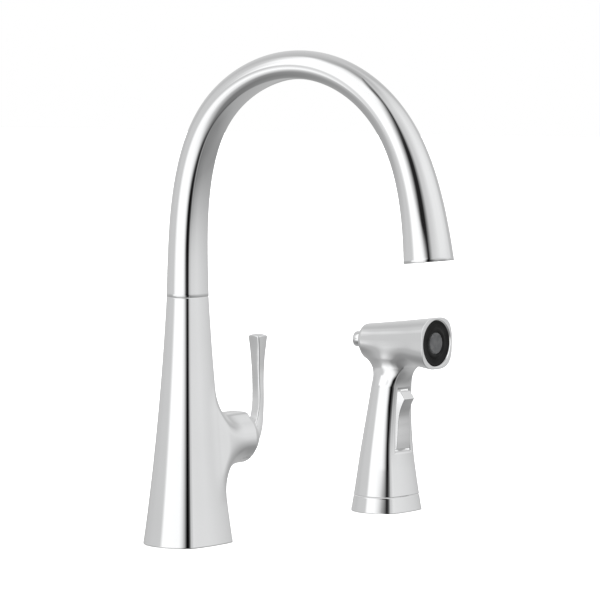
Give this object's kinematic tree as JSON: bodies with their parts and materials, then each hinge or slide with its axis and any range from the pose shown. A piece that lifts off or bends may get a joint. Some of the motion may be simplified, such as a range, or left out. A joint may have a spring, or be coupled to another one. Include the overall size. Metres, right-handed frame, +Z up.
{
  "type": "kitchen faucet",
  "caption": "Single-lever gooseneck kitchen faucet in polished chrome with a swinging spout and a lift-out side sprayer in its own deck holder.",
  "frame": {"origin": "centre of the faucet body's base, on the deck's top face", "axes": "+Z up out of the deck, -Y the way the spout points, +X along the lever hub towards the side sprayer"},
  "size_m": [0.3241, 0.2846, 0.4491],
  "materials": {
    "faucet_body": "polished chrome plate",
    "base_gasket": "matt black rubber",
    "mounting_shank": "machined brass",
    "deck_seal": "matt black rubber",
    "clamp_plate": "plain stainless steel",
    "mounting_nut": "machined brass",
    "clamp_screw_left": "plain stainless steel",
    "clamp_screw_right": "plain stainless steel",
    "waterway": "machined brass",
    "hot_inlet": "machined brass",
    "cold_inlet": "machined brass",
    "spray_outlet": "machined brass",
    "cartridge_seal": "matt black rubber",
    "cartridge_housing": "moulded white plastic",
    "cartridge_base": "moulded grey plastic",
    "fixed_disc": "lapped ceramic, stored as gloss plastic",
    "cartridge_nut": "machined brass",
    "spout_post": "machined brass",
    "post_oring_lower": "matt black rubber",
    "post_oring_upper": "matt black rubber",
    "spout_clip": "plain stainless steel",
    "swivel_washer": "moulded white plastic",
    "diverter_seat": "machined brass",
    "diverter_cap": "moulded grey plastic",
    "diverter_spring": "plain stainless steel",
    "spray_holder": "polished chrome plate",
    "holder_gasket": "matt black rubber",
    "holder_shank": "moulded black plastic",
    "holder_washer": "matt black rubber",
    "holder_nut": "moulded white plastic",
    "spout_tube": "polished chrome plate",
    "spout_socket": "machined brass",
    "outlet_bushing": "machined brass",
    "aerator_housing": "polished chrome plate",
    "aerator_insert": "moulded white plastic",
    "aerator_screen": "plain stainless steel",
    "aerator_washer": "matt black rubber",
    "cartridge_rotor": "moulded grey plastic",
    "stem_pin": "plain stainless steel",
    "lever_handle": "polished chrome plate",
    "handle_set_screw": "plain stainless steel",
    "cartridge_stem": "machined brass",
    "moving_disc": "lapped ceramic, stored as gloss plastic",
    "diverter_piston": "moulded grey plastic",
    "wand_shell": "polished chrome plate",
    "hose_nipple": "moulded black plastic",
    "trigger_pin": "plain stainless steel",
    "valve_housing": "moulded black plastic",
    "valve_spring": "plain stainless steel",
    "nozzle_core": "moulded black plastic",
    "spray_ring": "matt black rubber",
    "stream_disc": "moulded grey plastic",
    "spool_guide": "moulded black plastic",
    "mode_spring": "plain stainless steel",
    "trigger": "polished chrome plate",
    "valve_plunger": "plain stainless steel",
    "mode_button": "polished chrome plate"
  },
  "bodies": {
    "deck_fixed": {"faucet_body": "faucet_body", "base_gasket": "base_gasket", "mounting_shank": "mounting_shank", "deck_seal": "deck_seal", "clamp_plate": "clamp_plate", "mounting_nut": "mounting_nut", "clamp_screw_left": "clamp_screw_left", "clamp_screw_right": "clamp_screw_right", "waterway": "waterway", "hot_inlet": "hot_inlet", "cold_inlet": "cold_inlet", "spray_outlet": "spray_outlet", "cartridge_seal": "cartridge_seal", "cartridge_housing": "cartridge_housing", "cartridge_base": "cartridge_base", "fixed_disc": "fixed_disc", "cartridge_nut": "cartridge_nut", "spout_post": "spout_post", "post_oring_lower": "post_oring_lower", "post_oring_upper": "post_oring_upper", "spout_clip": "spout_clip", "swivel_washer": "swivel_washer", "diverter_seat": "diverter_seat", "diverter_cap": "diverter_cap", "diverter_spring": "diverter_spring", "spray_holder": "spray_holder", "holder_gasket": "holder_gasket", "holder_shank": "holder_shank", "holder_washer": "holder_washer", "holder_nut": "holder_nut"},
    "spout": {"spout_tube": "spout_tube", "spout_socket": "spout_socket", "outlet_bushing": "outlet_bushing", "aerator_housing": "aerator_housing", "aerator_insert": "aerator_insert", "aerator_screen": "aerator_screen", "aerator_washer": "aerator_washer"},
    "temperature": {"cartridge_rotor": "cartridge_rotor", "stem_pin": "stem_pin"},
    "handle": {"lever_handle": "lever_handle", "handle_set_screw": "handle_set_screw", "cartridge_stem": "cartridge_stem"},
    "disc": {"moving_disc": "moving_disc"},
    "diverter": {"diverter_piston": "diverter_piston"},
    "wand": {"wand_shell": "wand_shell", "hose_nipple": "hose_nipple", "trigger_pin": "trigger_pin", "valve_housing": "valve_housing", "valve_spring": "valve_spring", "nozzle_core": "nozzle_core", "spray_ring": "spray_ring", "stream_disc": "stream_disc", "spool_guide": "spool_guide", "mode_spring": "mode_spring"},
    "trigger": {"trigger": "trigger"},
    "plunger": {"valve_plunger": "valve_plunger"},
    "button": {"mode_button": "mode_button"}
  },
  "joints": [
    {"name": "spout_swing", "type": "hinge", "parent": "deck_fixed", "child": "spout", "pos_m": [0, 0, 0.1929], "axis": [0, 0, 1], "continuous": true},
    {"name": "lever_turn", "type": "hinge", "parent": "deck_fixed", "child": "temperature", "pos_m": [0.0595, 0, 0.0775], "axis": [1, 0, 0], "range_deg": [-45, 45]},
    {"name": "lever_tilt", "type": "hinge", "parent": "temperature", "child": "handle", "pos_m": [0.0595, 0, 0.0775], "axis": [0, 1, 0], "range_deg": [0, 20]},
    {"name": "disc_slide", "type": "slide", "parent": "temperature", "child": "disc", "axis": [0, 0, 1], "range_m": [0, 0.0036]},
    {"name": "diverter_lift", "type": "slide", "parent": "deck_fixed", "child": "diverter", "axis": [0, 0, 1], "range_m": [0, 0.004], "stiffness_N_per_m": 60, "springref_m": -0.001, "deforming": ["diverter_spring"]},
    {"name": "sprayer_lift", "type": "slide", "parent": "deck_fixed", "child": "wand", "axis": [0, 0, 1], "range_m": [0, 0.08]},
    {"name": "trigger_squeeze", "type": "hinge", "parent": "wand", "child": "trigger", "pos_m": [0.2595, -0.0138, 0.0548], "axis": [-1, 0, 0], "range_deg": [0, 6], "stiffness_Nm_per_rad": 1, "springref_deg": -4.58},
    {"name": "plunger_slide", "type": "slide", "parent": "wand", "child": "plunger", "axis": [0, 1, 0], "range_m": [0, 0.0038], "deforming": ["valve_spring"]},
    {"name": "button_push", "type": "slide", "parent": "wand", "child": "button", "axis": [0, -1, 0], "range_m": [0, 0.0025], "stiffness_N_per_m": 600, "springref_m": -0.002, "deforming": ["mode_spring"]}
  ],
  "couplings": [
    {"joint": "disc_slide", "follows": "lever_tilt", "m_per_rad": 0.0097},
    {"joint": "plunger_slide", "follows": "trigger_squeeze", "m_per_rad": 0.0352}
  ]
}
